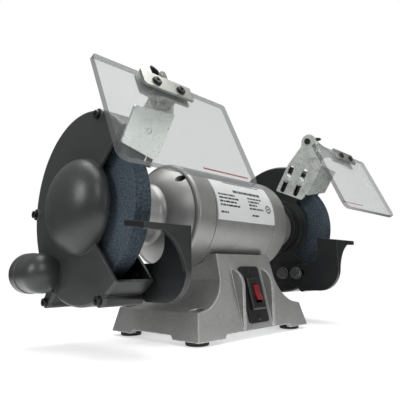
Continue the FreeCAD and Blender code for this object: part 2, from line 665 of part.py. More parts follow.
def rotor_end_rings():
    """Cast ends of the rotor cage, with small fan blades."""
    end = ring(ROTOR_HALF + FIT, ROTOR_HALF + 8, ROTOR_R - 12, ROTOR_R - 1)
    for i in range(8):
        a = math.radians(45 * i)
        mid = ROTOR_R - 6.5
        blade = Part.makeBox(8, 8, 2, V(ROTOR_HALF + 7, mid - 4, SPINDLE_HEIGHT - 1))
        blade.rotate(V(0, 0, SPINDLE_HEIGHT), V(1, 0, 0), math.degrees(a))
        end = end.fuse(blade)
    end = end.removeSplitter()
    return [end, on_side(end, -1)]


def inner_flange():
    """Recessed flange that seats on the shaft's shoulder."""
    face = WHEEL_IN - BLOTTER
    flange = turned([(SHOULDER, ARBOR_R + FIT), (SHOULDER, FLANGE_R - 9), (face - FLANGE_WIDTH, FLANGE_R),
                     (face, FLANGE_R), (face, FLANGE_R - 8), (face - 1.5, FLANGE_R - 8.5),
                     (face - 1.5, ARBOR_R + FIT)])
    return flange


def outer_flange():
    face = WHEEL_OUT + BLOTTER
    return turned([(face + 1.5, ARBOR_R + FIT), (face + 1.5, FLANGE_R - 8.5), (face, FLANGE_R - 8),
                   (face, FLANGE_R), (face + 2, FLANGE_R), (NUT_START, FLANGE_R - 8),
                   (NUT_START, ARBOR_R + FIT)])


def wheel():
    outline = [(WHEEL_IN, WHEEL_BORE_R), (WHEEL_IN, WHEEL_R - 0.6), (WHEEL_IN + 0.6, WHEEL_R),
               (WHEEL_OUT - 0.6, WHEEL_R), (WHEEL_OUT, WHEEL_R - 0.6), (WHEEL_OUT, WHEEL_BORE_R)]
    return turned(outline)


def wheel_bushings():
    bush = ring(WHEEL_IN, WHEEL_OUT, ARBOR_R + FIT, WHEEL_BORE_R - FIT)
    return [bush, on_side(bush, -1)]


def wheel_blotters():
    """Paper washers between the wheel and each flange."""
    discs = []
    for x in (WHEEL_IN - BLOTTER, WHEEL_OUT):
        disc = ring(x, x + BLOTTER, WHEEL_BORE_R + 1.5, FLANGE_R + 6)
        discs += [disc, on_side(disc, -1)]
    return discs


def spindle_nut():
    nut = hexagon(NUT_START, NUT_START + NUT_HEIGHT, 19.0, bore=ARBOR_R + FIT)
    chamfer = turned([(NUT_START - 1, 0), (NUT_START - 1, 30), (NUT_START + NUT_HEIGHT - 3.2, 13.2),
                      (NUT_START + NUT_HEIGHT, 10), (NUT_START + NUT_HEIGHT, 0)])
    return nut.common(chamfer)


# ---- guards ------------------------------------------------------------------------------


def mouth(x0, x1):
    """Wedge in front of the wheel where the guard is open."""
    far = 2 * GUARD_R
    apex = -MOUTH_SHIFT / 2.0
    return plate_yz([(apex, -apex), (-far, far), (-far, -far + MOUTH_SHIFT)], x0, x1)


def inner_guard():
    """Back plate, rim and bosses, bolted round the end bell's neck."""
    shell = turned([(GUARD_BACK, 0), (GUARD_BACK, GUARD_R - 2), (GUARD_BACK + 2, GUARD_R),
                    (COVER_BACK, GUARD_R), (COVER_BACK, GUARD_R - GUARD_WALL),
                    (GUARD_BACK + GUARD_WALL, GUARD_R - GUARD_WALL), (GUARD_BACK + GUARD_WALL, 0)])
    shell = shell.cut(mouth(GUARD_BACK - 1, COVER_BACK + 1))
    shell = shell.fuse(rod(GUARD_BACK, GUARD_BACK + GUARD_WALL, HUB_PLATE_R))
    shell = shell.fuse(rod(NECK_END - 4, GUARD_BACK + 1, NECK_R + 6.5))
    shell = shell.fuse(rod(GUARD_BACK - 1.5, GUARD_BACK + 1, NECK_R + 13))
    for y, z in COVER_SCREWS:
        shell = shell.fuse(boss_post(y, z, GUARD_BACK, COVER_BACK, BOSS_R))
    for y, z in BRACKET_BOLTS:
        shell = shell.fuse(rod(PAD_FACE, GUARD_BACK + 1, 8.0, y, z))
    pad = slot_cut(-27.75, -69.0, V(0, 1, 0), 46, 22, PAD_FACE, GUARD_BACK + 1)
    shell = shell.fuse(pad)
    shell = shell.cut(rod(NECK_END - 5, NECK_END + SLIDE_GAP, NECK_R + FIT))
    shell = shell.cut(rod(NECK_END - 5, GUARD_BACK + 10, SHAFT_R + 5))
    return guard_holes(shell).removeSplitter()


def boss_post(y, z, x0, x1, radius):
    """Screw boss on the guard's rim, joined to it by a web."""
    reach = math.hypot(y, z)
    inward = (GUARD_R - GUARD_WALL / 2.0) / reach
    post = rod(x0, x1, radius, y, z)
    if reach > GUARD_R + 2:
        across = V(0, -z / reach, y / reach) * (radius * 0.8)
        root = (y * inward, z * inward)
        web = [(y + across.y, z + across.z), (y - across.y, z - across.z),
               (root[0] - 1.4 * across.y, root[1] - 1.4 * across.z),
               (root[0] + 1.4 * across.y, root[1] + 1.4 * across.z)]
        post = post.fuse(plate_yz(web, x0, x1))
    return post


def guard_holes(shell):
    for y, z in COVER_SCREWS:
        shell = shell.cut(rod(COVER_BACK - 14, COVER_BACK + 1, COVER_SCREW_R, y, z))
    for y, z in BRACKET_BOLTS:
        shell = shell.cut(rod(PAD_FACE - 1, GUARD_BACK + 5, BRACKET_BOLT_R, y, z))
    for y, z in REST_BOLTS:
        shell = shell.cut(rod(PAD_FACE - 1, GUARD_BACK + 5, REST_BOLT_R, y, z))
    for y, z in guard_screw_places():
        shell = shell.cut(rod(NECK_END - 5, GUARD_BACK + 10, GUARD_SCREW_R + HOLE_CLEAR, y, z))
    return shell.cut(dust_port(PORT_R - PORT_WALL + HOLE_CLEAR, PORT_START, PORT_END))


def half_ellipsoid(base_x, radius, height):
    """Dome on the plane x = base_x, bulging to +X."""
    ball = Part.makeSphere(radius, V(0, 0, 0))
    half = ball.common(Part.makeBox(radius, 2 * radius, 2 * radius, V(0, -radius, -radius)))
    matrix = FreeCAD.Matrix()
    matrix.scale(height / radius, 1, 1)
    half = half.transformGeometry(matrix)
    half.translate(V(base_x, 0, SPINDLE_HEIGHT))
    return half


def dust_port(radius, start, end):
    """Round-nosed tube along +Y, low on the cover's rear half."""
    centre = V(PORT_X, start, SPINDLE_HEIGHT + PORT_Z)
    tube = Part.makeCylinder(radius, end - start, centre, V(0, 1, 0))
    return tube.fuse(Part.makeSphere(radius, centre)).removeSplitter()


def outer_cover():
    """Cast cover with the mouth, the hub dome and the dust port."""
    plate = turned([(COVER_BACK, 0), (COVER_BACK, GUARD_R), (COVER_FACE - 2, GUARD_R),
                    (COVER_FACE - 0.6, GUARD_R - 0.6), (COVER_FACE, GUARD_R - 2), (COVER_FACE, 0)])
    plate = plate.cut(mouth(COVER_BACK - 1, COVER_FACE + 1))
    plate = plate.fuse(rod(COVER_BACK, COVER_FACE, DOME_R))
    for y, z in COVER_SCREWS:
        plate = plate.fuse(boss_post(y, z, COVER_BACK, COVER_FACE + 1, BOSS_R))
    plate = plate.fuse(half_ellipsoid(COVER_FACE - 0.5, DOME_R, DOME_HEIGHT + 0.5))
    port = dust_port(PORT_R, PORT_START, PORT_END)
    lip_start = V(PORT_X, PORT_END - PORT_LIP, SPINDLE_HEIGHT + PORT_Z)
    lip = Part.makeCylinder(PORT_R + 0.8, PORT_LIP, lip_start, V(0, 1, 0))
    lip = lip.makeFillet(0.7, [e for e in lip.Edges if e.BoundBox.YLength < 0.01])
    port = port.fuse(lip)
    port = port.cut(rod(COVER_BACK - 30, COVER_BACK, GUARD_R + 0.5))
    for y, z in COVER_SCREWS:
        port = port.cut(boss_post(y, z, GUARD_BACK, COVER_BACK, BOSS_R + 0.5))
    plate = plate.fuse(port)
    plate = plate.cut(half_ellipsoid(COVER_BACK - 0.5, DOME_R - COVER_WALL, DOME_HEIGHT))
    plate = plate.cut(dust_port(PORT_R - PORT_WALL, PORT_START, PORT_END + 1))
    for y, z in COVER_SCREWS:
        plate = plate.cut(rod(COVER_BACK - 1, COVER_FACE + 3, COVER_SCREW_R + HOLE_CLEAR, y, z))
    return plate.removeSplitter()


def cover_screws():
    """Socket screws, four a side."""
    seat = COVER_FACE + 1
    screws = []
    for y, z in COVER_SCREWS:
        screw = rod(COVER_BACK - 10, seat, COVER_SCREW_R - FIT, y, z)
        screw = screw.fuse(rod(seat, seat + 3.6, 4.2, y, z)).removeSplitter()
        screw = screw.cut(hexagon(seat + 1.6, seat + 5, 3.4, y, z))
        screws += [screw, on_side(screw, -1)]
    return screws


def guard_screws():
    """Screws from inside the guard into the bell's neck, three a side."""
    seat = GUARD_BACK + GUARD_WALL
    screws = []
    for y, z in guard_screw_places():
        screw = rod(NECK_END - 10, seat, GUARD_SCREW_R - FIT, y, z)
        screw = screw.fuse(rod(seat, seat + 2.2, 4.5, y, z)).removeSplitter()
        screws += [screw, on_side(screw, -1)]
    return screws


# ---- tool rests ----------------------------------------------------------------------------


def rest_web():
    """Web across the guard's side: upright arm in front, foot under the hub."""
    def p(y, z):
        return V(REST_IN, y, SPINDLE_HEIGHT + z)
    back = -REST_EDGE + 1.5
    front = -REST_FRONT
    top = REST_TOP_Z
    edges = [Part.LineSegment(p(back, top), p(front, top - REST_SLOPE)),
             Part.LineSegment(p(front, top - REST_SLOPE), p(front, -62)),
             Part.Arc(p(front, -62), p(front + 9, -85), p(front + 32, -94)),
             Part.LineSegment(p(front + 32, -94), p(-48, -94)),
             Part.LineSegment(p(-48, -94), p(-24, -84)),
             Part.LineSegment(p(-24, -84), p(-2, -84)),
             Part.Arc(p(-2, -84), p(8, -70), p(-2, -57)),
             Part.LineSegment(p(-2, -57), p(-56, -57)),
             Part.Arc(p(-56, -57), p(back + 5, -51), p(back, -38)),
             Part.LineSegment(p(back, -38), p(back, top))]
    face = Part.Face(Part.Wire([e.toShape() for e in edges]))
    return face.extrude(V(REST_THICK, 0, 0))


def rest_flange():
    """Front flange, as wide as the platform at its top and dying out downwards."""
    y = -REST_FRONT
    low = REST_TOP_Z - REST_SLOPE - REST_LIP

    def p(x, z):
        return V(x, y, SPINDLE_HEIGHT + z)
    edges = [Part.LineSegment(p(REST_IN, REST_TOP_Z - REST_SLOPE),
                              p(PLATFORM_END, REST_TOP_Z - REST_SLOPE)),
             Part.LineSegment(p(PLATFORM_END, REST_TOP_Z - REST_SLOPE), p(PLATFORM_END, low)),
             Part.LineSegment(p(PLATFORM_END, low), p(WHEEL_X, low - 0.5)),
             Part.Arc(p(WHEEL_X, low - 0.5), p(REST_OUT + 9, low - 14), p(REST_OUT, low - 36)),
             Part.LineSegment(p(REST_OUT, low - 36), p(REST_IN, low - 36)),
             Part.LineSegment(p(REST_IN, low - 36), p(REST_IN, REST_TOP_Z - REST_SLOPE))]
    face = Part.Face(Part.Wire([e.toShape() for e in edges]))
    return face.extrude(V(0, REST_FLANGE, 0))


def tool_rest():
    top = REST_TOP_Z
    platform = plate_yz([(-REST_EDGE, top), (-REST_FRONT, top - REST_SLOPE),
                         (-REST_FRONT, top - REST_SLOPE - REST_LIP), (-REST_EDGE, top - REST_LIP)],
                        REST_IN, PLATFORM_END)
    rest = fused([rest_web(), platform, rest_flange()])
    middle = sum(y for y, _ in REST_BOLTS) / 2.0
    reach = REST_BOLTS[0][0] - REST_BOLTS[1][0]
    width = 2 * (REST_BOLT_R + HOLE_CLEAR)
    length = reach + width + 2 * (REST_TRAVEL + 1)
    slot = slot_cut(middle, REST_BOLTS[0][1], V(0, 1, 0), length, width, REST_IN - 1, REST_OUT + 1)
    return rest.cut(slot)


def rest_bolts():
    """Hexagon bolts with washers, two a side, through the rest's slot into the guard."""
    bolts = []
    for y, z in REST_BOLTS:
        bolt = rod(REST_IN - 2, GUARD_BACK + GUARD_WALL, REST_BOLT_R - FIT, y, z)
        bolt = bolt.fuse(rod(REST_IN - 1.8, REST_IN - SLIDE_GAP, 9.0, y, z))
        bolt = bolt.fuse(hexagon(REST_IN - 7.3, REST_IN - 1.8, 13.0, y, z)).removeSplitter()
        bolts += [bolt, on_side(bolt, -1)]
    return bolts


# ---- spark arrester and eye shield -----------------------------------------------------------


def deflector_point(x, along):
    """Point on the deflector's front face, a distance up its slope."""
    run = V(0, DEFLECT_HIGH[0] - DEFLECT_LOW[0], DEFLECT_HIGH[1] - DEFLECT_LOW[1])
    run.normalize()
    front = V(0, -run.z, run.y) * SHEET
    return V(x, DEFLECT_LOW[0], SPINDLE_HEIGHT + DEFLECT_LOW[1]) + front + run * along


def deflector():
    """Leg folded across the wheel, with a punched ring near its middle."""
    run = deflector_point(BRACKET_IN, 1) - deflector_point(BRACKET_IN, 0)
    inward = V(0, run.z, -run.y)
    length = math.hypot(DEFLECT_HIGH[0] - DEFLECT_LOW[0], DEFLECT_HIGH[1] - DEFLECT_LOW[1])
    points = [deflector_point(BRACKET_IN, 0), deflector_point(BRACKET_OUT, -DEFLECT_SKEW),
              deflector_point(DEFLECT_END, DEFLECT_SKEW), deflector_point(DEFLECT_END, length - 3),
              deflector_point(BRACKET_IN, length)]
    leg = Part.Face(Part.makePolygon(points + points[:1])).extrude(inward * SHEET)
    corners_out = [e for e in leg.Edges if e.BoundBox.XMin > DEFLECT_END - 0.1 and e.Length < SHEET + 0.1]
    leg = leg.makeFillet(2.0, corners_out)
    spot = deflector_point(WHEEL_X - 6.5, length / 2)
    groove = Part.makeCylinder(PUNCH_R, 0.5, spot, inward)
    return leg.cut(groove.cut(Part.makeCylinder(PUNCH_R - 0.9, 0.5, spot, inward)))


def lance():
    """Small pointed tooth pushed out of the plate above the slots."""
    places = ((-55.4, 105.8), (-53.0, 94.6), (-46.1, 96.7))
    base = [V(BRACKET_IN + 0.1, y, SPINDLE_HEIGHT + z) for y, z in places]
    tip = base[1] + V(-2.2, 0, 0)
    faces = [Part.Face(Part.makePolygon(base + base[:1]))]
    for p, q in zip(base, base[1:] + base[:1]):
        faces.append(Part.Face(Part.makePolygon([p, q, tip, p])))
    return Part.Solid(Part.Shell(faces))


def spark_bracket():
    """Slotted plate with an ear on top and the deflector folded across the wheel."""
    def p(y, z):
        return V(BRACKET_IN, y, SPINDLE_HEIGHT + z)
    edges = [Part.LineSegment(p(-6.4, 59), p(-50.5, 39)),
             Part.LineSegment(p(-50.5, 39), p(-54.5, 42)),
             Part.LineSegment(p(-54.5, 42), p(*DEFLECT_LOW)),
             Part.LineSegment(p(*DEFLECT_LOW), p(*DEFLECT_HIGH)),
             Part.LineSegment(p(*DEFLECT_HIGH), p(-86.5, 110)),
             Part.LineSegment(p(-86.5, 110), p(-77.5, 131)),
             Part.Arc(p(-77.5, 131), p(-66, 136.8), p(-56.5, 129)),
             Part.LineSegment(p(-56.5, 129), p(-55.6, 121)),
             Part.LineSegment(p(-55.6, 121), p(-31, 97)),
             Part.LineSegment(p(-31, 97), p(-6.4, 59))]
    plate = Part.Face(Part.Wire([e.toShape() for e in edges])).extrude(V(SHEET, 0, 0))
    sharp = [e for e in plate.Edges if e.BoundBox.XLength > SHEET - 0.1
             and (e.BoundBox.ZMax < SPINDLE_HEIGHT + 60 and e.BoundBox.YMax > -52
                  or e.BoundBox.ZMax > SPINDLE_HEIGHT + 96 and e.BoundBox.YMax > -60)]
    plate = plate.makeFillet(2.5, sharp)
    bracket = plate.fuse(deflector()).fuse(lance())
    for y, z in BRACKET_BOLTS:
        slot = slot_cut(y - SLOT_DROP * SLOT_DIR.y, z - SLOT_DROP * SLOT_DIR.z, SLOT_DIR,
                        BRACKET_SLOT, BRACKET_SLOT_WIDTH, BRACKET_IN - 1, BRACKET_OUT + 1)
        bracket = bracket.cut(slot)
    bracket = bracket.cut(rod(BRACKET_IN - 1, BRACKET_OUT + 1, GUIDE_R + FIT, *GUIDE))
    return bracket.cut(rod(BRACKET_IN - 1, BRACKET_OUT + 1, LOCK_R + FIT, *LOCK))


def bracket_bolts():
    """Hexagon bolts with washers, two a side, through the slots into the guard."""
    bolts = []
    for y, z in BRACKET_BOLTS:
        bolt = rod(BRACKET_IN - 2, GUARD_BACK + GUARD_WALL, BRACKET_BOLT_R - FIT, y, z)
        bolt = bolt.fuse(rod(BRACKET_IN - 1.5, BRACKET_IN - SLIDE_GAP, 7.0, y, z))
        bolt = bolt.fuse(hexagon(BRACKET_IN - 5.5, BRACKET_IN - 1.5, 9.0, y, z)).removeSplitter()
        bolts += [bolt, on_side(bolt, -1)]
    return bolts


def guide_bolt():
    """Hexagon bolt and lock nut that limit the eye shield's tilt."""
    y, z = GUIDE
    bolt = rod(BRACKET_IN - 2, LEAF_OUT + 6, GUIDE_R, y, z)
    bolt = bolt.fuse(rod(BRACKET_IN - 1.3, BRACKET_IN - FIT, 7.8, y, z))
    bolt = bolt.fuse(hexagon(BRACKET_IN - 5.5, BRACKET_IN - 1.3, 13.5, y, z)).removeSplitter()
    nut = hexagon(LEAF_OUT + SLIDE_GAP, LEAF_OUT + 5, 10.0, y, z, GUIDE_R + FIT)
    return [bolt, nut]


def wing_blade(angle):
    """One blade of the wing knob, standing out from the hub at an angle."""
    a = math.radians(angle)
    out = V(0, math.cos(a), math.sin(a))
    across = V(0, -math.sin(a), math.cos(a)) * WING_THICK
    hub = V(LEAF_OUT + SLIDE_GAP, LOCK[0], SPINDLE_HEIGHT + LOCK[1])
    points = [hub + V(x, 0, 0) + out * r - across * 0.5 for x, r in WING_OUTLINE]
    blade = Part.Face(Part.makePolygon(points + points[:1])).extrude(across)
    tips = [e for e in blade.Edges if abs(e.Length - WING_THICK) < 0.01
            and e.BoundBox.XMin > LEAF_OUT + 9]
    return blade.makeFillet(1.2, tips)


def wing_knob():
    """Stud that the eye shield tilts on, with its wing knob."""
    y, z = LOCK
    stud = rod(BRACKET_IN - 2.5, LEAF_OUT + 8, LOCK_R, y, z)
    stud = stud.fuse(rod(BRACKET_IN - 2.5, BRACKET_IN - FIT, 4.5, y, z)).removeSplitter()
    start = LEAF_OUT + SLIDE_GAP
    knob = rod(start, start + 7, 5.0, y, z)
    knob = knob.fuse(wing_blade(WING_ANGLE)).fuse(wing_blade(WING_ANGLE + 180)).removeSplitter()
    return [stud, knob.cut(rod(start - 1, start + 20, LOCK_R + FIT, y, z))]


def lens_place(shape):
    """Move a shape drawn upright, front face on y = 0 and top edge at z = 0."""
    shape = shape.copy()
    shape.rotate(V(0, 0, 0), V(1, 0, 0), -LENS_TILT)
    shape.translate(V(WHEEL_X, LENS_TOP[0], SPINDLE_HEIGHT + LENS_TOP[1]))
    return shape


def screw_row(radius, y0, y1):
    """Two cylinders along the lens's normal, at the clamp screws."""
    return [Part.makeCylinder(radius, y1 - y0, V(s * CLAMP_SCREW_HALF, y0, -CLAMP_HEIGHT / 2), V(0, 1, 0))
            for s in (-1, 1)]


def shield_lens():
    """Clear sheet with rounded corners, drilled for the clamp screws."""
    half = LENS_WIDTH / 2
    lens = box(LENS_OFFSET - half, LENS_OFFSET + half, 0, LENS_THICK, -LENS_HEIGHT, 0)
    through = [e for e in lens.Edges if e.BoundBox.YLength > LENS_THICK - 0.1]
    upper = [e for e in through if e.BoundBox.ZMax > -1]
    lower = [e for e in through if e.BoundBox.ZMax < -1]
    lens = lens.makeFillet(3.0, upper)
    lower = [e for e in lens.Edges if e.BoundBox.YLength > LENS_THICK - 0.1
             and any(e.BoundBox.Center.distanceToPoint(old.BoundBox.Center) < 0.1 for old in lower)]
    lens = lens.makeFillet(9.0, lower)
    for hole in screw_row(CLAMP_SCREW_R + HOLE_CLEAR, -1, LENS_THICK + 1):
        lens = lens.cut(hole)
    return lens_place(lens)


def clamp_bar(outline, y0, thick):
    """Bar across the lens, drawn upright and drilled for the clamp screws."""
    points = [V(x, y0, z) for x, z in outline]
    bar = Part.Face(Part.makePolygon(points + points[:1])).extrude(V(0, thick, 0))
    for hole in screw_row(CLAMP_SCREW_R + HOLE_CLEAR, y0 - 1, y0 + thick + 1):
        bar = bar.cut(hole)
    return bar


def lens_clamp():
    """Front bar of the clamp."""
    h = CLAMP_HEIGHT
    outline = [(-CLAMP_HALF, 1.5), (CLAMP_HALF, 1.5), (CLAMP_HALF, 2.5 - h), (CLAMP_HALF - 2.5, -h),
               (1 - CLAMP_HALF, -h), (-CLAMP_HALF, 1 - h)]
    return lens_place(clamp_bar(outline, -SHEET, SHEET - SLIDE_GAP / 2))


def clamp_screws():
    """Button-head socket screws with nuts, two a side, each head seated on the front bar."""
    back = LENS_THICK + SLIDE_GAP + SHEET
    screws = []
    shanks = screw_row(CLAMP_SCREW_R, -SHEET, back + 3.5)
    heads = screw_row(4.6, -SHEET - 2.4, -SHEET)
    for s, shank, head in zip((-1, 1), shanks, heads):
        head = head.makeFillet(1.4, [e for e in head.Edges if e.BoundBox.YLength < 0.01
                                     and e.BoundBox.YMax < -SHEET - 2])
        socket = hexagon(0, 1.4, 3.2)
        socket.translate(V(0, 0, -SPINDLE_HEIGHT))
        socket.rotate(V(0, 0, 0), V(0, 0, 1), 90)
        socket.translate(V(s * CLAMP_SCREW_HALF, -SHEET - 2.4, -CLAMP_HEIGHT / 2))
        screws.append(lens_place(shank.fuse(head).removeSplitter().cut(socket)))
    for s, bore in zip((-1, 1), screw_row(CLAMP_SCREW_R + FIT, back, back + 4)):
        nut = hexagon(0, 3.0, 7.0)
        nut.translate(V(0, 0, -SPINDLE_HEIGHT))
        nut.rotate(V(0, 0, 0), V(0, 0, 1), 90)
        nut.translate(V(s * CLAMP_SCREW_HALF, back + FIT, -CLAMP_HEIGHT / 2))
        screws.append(lens_place(nut.cut(bore)))
    return screws


def arm_leaf():
    """Side leaf of the arm, in a plane across X, from its lug on the stud down to the lens."""
    tilt = math.radians(LENS_TILT)
    back = LENS_THICK + SLIDE_GAP

    def on_lens(along):
        return (LENS_TOP[0] - along * math.sin(tilt) + back * math.cos(tilt),
                LENS_TOP[1] - along * math.cos(tilt) - back * math.sin(tilt))
    leaf = plate_yz([on_lens(-1.5), on_lens(CLAMP_HEIGHT / 2 + 1), (GUIDE[0] - 16, GUIDE[1] - 8),
                     (GUIDE[0] - 4, GUIDE[1] - 13), (GUIDE[0] + 15, GUIDE[1] - 7.5),
                     (LOCK[0] + 17, LOCK[1] - 8.5), (LOCK[0] + 9, LOCK[1]), (LOCK[0] - 12, LOCK[1] - 0.5)],
                    LEAF_IN, LEAF_OUT)
    below = SPINDLE_HEIGHT + GUIDE[1]
    rounded = [e for e in leaf.Edges if e.BoundBox.XLength > SHEET - 0.1
               and (GUIDE[0] - 8 < e.BoundBox.YMin < LOCK[0] + 8.5 and e.BoundBox.ZMin < below
                    or e.BoundBox.YMin > LOCK[0] + 16)]
    leaf = leaf.makeFillet(3.0, rounded)
    leaf = leaf.fuse(rod(LEAF_IN, LEAF_OUT, LUG_R, *LOCK)).removeSplitter()
    leaf = leaf.cut(guide_slot())
    return leaf.cut(rod(LEAF_IN - 1, LEAF_OUT + 1, LOCK_R + FIT, *LOCK))


def guide_slot():
    """Arc about the stud that the guide bolt runs in as the shield tilts."""
    radius = math.hypot(GUIDE[0] - LOCK[0], GUIDE[1] - LOCK[1])
    at_rest = math.degrees(math.atan2(GUIDE[1] - LOCK[1], GUIDE[0] - LOCK[0]))
    half = GUIDE_R + HOLE_CLEAR
    ends = (at_rest - SHIELD_LOWER, at_rest + SHIELD_RAISE)
    slot = pie_slice(radius + half, *ends).cut(rod(LEAF_IN - 1, LEAF_OUT + 1, radius - half, *LOCK))
    for angle in ends:
        a = math.radians(angle)
        slot = slot.fuse(rod(LEAF_IN, LEAF_OUT, half, LOCK[0] + radius * math.cos(a),
                             LOCK[1] + radius * math.sin(a)))
    return slot


def pie_slice(radius, start, end):
    """Slice about the stud between two angles, in the leaf's plane."""
    def at(angle):
        a = math.radians(angle)
        return V(LEAF_IN, LOCK[0] + radius * math.cos(a), SPINDLE_HEIGHT + LOCK[1] + radius * math.sin(a))
    centre = V(LEAF_IN, LOCK[0], SPINDLE_HEIGHT + LOCK[1])
    edges = [Part.LineSegment(centre, at(start)).toShape(),
             Part.Arc(at(start), at((start + end) / 2.0), at(end)).toShape(),
             Part.LineSegment(at(end), centre).toShape()]
    return Part.Face(Part.Wire(edges)).extrude(V(SHEET, 0, 0))


def shield_arm():
    """Sheet arm: back plate of the clamp with the leaf folded from its inboard end."""
    h = CLAMP_HEIGHT
    outline = [(-CLAMP_HALF, 1.5), (CLAMP_HALF, 1.5), (CLAMP_HALF, -h - 3), (CLAMP_HALF - 9, -h - 4.5),
               (4, -h + 0.5), (-CLAMP_HALF, -h + 0.5)]
    plate = lens_place(clamp_bar(outline, LENS_THICK + SLIDE_GAP / 2, SHEET))
    return plate.fuse(arm_leaf()).removeSplitter()


# ---- write every piece -------------------------------------------------------------------------
os.makedirs("parts", exist_ok=True)

SINGLE_PIECES = {
    "base_casting": base_casting, "bottom_plate": bottom_plate, "bottom_plate_screws": bottom_plate_screws,
    "rubber_feet": rubber_feet, "motor_screws": motor_screws, "switch_plate": switch_plate,
    "switch_screws": switch_screws, "switch_rocker": switch_rocker, "switch_body": switch_body,
    "run_capacitor": run_capacitor, "capacitor_clip": capacitor_clip, "terminal_block": terminal_block,
    "cord_gland": cord_gland, "motor_shell": motor_shell, "tie_bolts": tie_bolts,
    "stator_core": stator_core, "stator_windings": stator_windings, "label_plate": label_plate,
    "wave_washer": wave_washer, "shaft": shaft, "rotor_core": rotor_core,
    "rotor_end_rings": rotor_end_rings, "wheel_bushings": wheel_bushings,
    "wheel_blotters": wheel_blotters, "cover_screws": cover_screws, "guard_screws": guard_screws,
    "rest_bolts": rest_bolts, "bracket_bolts": bracket_bolts,
}
SIDE_PIECES = {
    "end_bell": end_bell, "bearing": bearing, "inner_flange": inner_flange, "wheel": wheel,
    "outer_flange": outer_flange, "spindle_nut": spindle_nut, "inner_guard": inner_guard,
    "outer_cover": outer_cover, "tool_rest": tool_rest, "spark_bracket": spark_bracket,
    "guide_bolt": guide_bolt, "wing_knob": wing_knob, "shield_arm": shield_arm,
    "lens_clamp": lens_clamp, "shield_lens": shield_lens, "clamp_screws": clamp_screws,
}

for name, make in SINGLE_PIECES.items():
    export(name, make())
for name, make in SIDE_PIECES.items():
    piece = make()
    solids = piece if isinstance(piece, list) else [piece]
    for side, word in ((-1, "left_"), (1, "right_")):
        export(word + name, [on_side(solid, side) for solid in solids])
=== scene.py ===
import math

import bmesh
import bpy
from mathutils import Matrix, Vector


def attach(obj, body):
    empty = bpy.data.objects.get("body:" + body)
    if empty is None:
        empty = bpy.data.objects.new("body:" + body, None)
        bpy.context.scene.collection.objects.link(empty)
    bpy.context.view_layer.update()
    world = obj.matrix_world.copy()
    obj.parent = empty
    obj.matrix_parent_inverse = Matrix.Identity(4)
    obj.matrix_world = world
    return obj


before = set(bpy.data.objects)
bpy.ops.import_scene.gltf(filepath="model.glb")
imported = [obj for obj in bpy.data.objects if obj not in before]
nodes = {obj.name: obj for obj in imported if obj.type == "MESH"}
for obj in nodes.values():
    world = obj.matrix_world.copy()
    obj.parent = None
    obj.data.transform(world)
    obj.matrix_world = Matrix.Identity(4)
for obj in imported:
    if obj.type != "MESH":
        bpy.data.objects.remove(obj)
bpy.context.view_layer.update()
MM = 0.001


# Base: a hollow iron casting, wide at the bench and narrowing to the motor saddle.
# It is shot-blasted, then sprayed silver grey; its near-white edges are partly paint rubbed thin and
# partly a painted highlight on the cast edges.
def new_finish(name):
    finish = bpy.data.materials.new(name)
    finish.use_nodes = True
    tree = finish.node_tree
    return finish, tree, tree.nodes["Principled BSDF"]


def add(tree, kind, **settings):
    node = tree.nodes.new(kind)
    for key, value in settings.items():
        if key in node.inputs:
            node.inputs[key].default_value = value
        else:
            setattr(node, key, value)
    return node


def join(tree, source, out, target, into):
    tree.links.new(source.outputs[out], target.inputs[into])


def grain(tree, size, detail=2.0):
    """Noise on Object coordinates with lumps of this size in metres."""
    place = add(tree, "ShaderNodeTexCoord")
    noise = add(tree, "ShaderNodeTexNoise", Scale=1.0 / size, Detail=detail, Roughness=0.6)
    join(tree, place, "Object", noise, "Vector")
    return noise


def spread(tree, source, out, low, high, to_low, to_high):
    """Maps a range of values to another, clamped."""
    ramp = add(tree, "ShaderNodeMapRange", clamp=True)
    ends = {"From Min": low, "From Max": high, "To Min": to_low, "To Max": to_high}
    for key, value in ends.items():
        ramp.inputs[key].default_value = value
    join(tree, source, out, ramp, "Value")
    return ramp


# The Mix node's colour sockets share their names with its other kinds, so they go by number.
MIX_FACTOR, MIX_FIRST, MIX_SECOND, MIX_RESULT = 0, 6, 7, 2


def mixed(tree, factor, out, first, second):
    """A colour between two others; each is a colour or another mix."""
    mix = add(tree, "ShaderNodeMix", data_type="RGBA")
    join(tree, factor, out, mix, MIX_FACTOR)
    for place, colour in ((MIX_FIRST, first), (MIX_SECOND, second)):
        if hasattr(colour, "outputs"):
            join(tree, colour, MIX_RESULT, mix, place)
        else:
            mix.inputs[place].default_value = (*colour, 1.0)
    return mix


# Cosine between the true normal and the rounded one where the lighter edge starts and where it is full;
# that edge is rubbed wear, and on the base partly a painted highlight.
RUB_AND_HIGHLIGHT_START = 0.995
RUB_AND_HIGHLIGHT_FULL = 0.9


def edge_mask(tree, radius):
    """White along sharp edges, and a normal that rounds them off."""
    rounded = add(tree, "ShaderNodeBevel", samples=6)
    rounded.inputs["Radius"].default_value = radius
    surface = add(tree, "ShaderNodeNewGeometry")
    dot = add(tree, "ShaderNodeVectorMath", operation="DOT_PRODUCT")
    join(tree, rounded, "Normal", dot, 0)
    join(tree, surface, "Normal", dot, 1)
    return rounded, spread(tree, dot, "Value", RUB_AND_HIGHLIGHT_START, RUB_AND_HIGHLIGHT_FULL, 0.0, 1.0)


# Stretches of a noise's values that the finishes use.
NOISE_MOST = (0.3, 0.7)
NOISE_WIDE = (0.25, 0.75)
FLECK_NOISE = (0.35, 0.62)
RUB_AND_HIGHLIGHT_NOISE = (0.3, 0.65)
RUB_AND_HIGHLIGHT_PATCH = 4 * MM


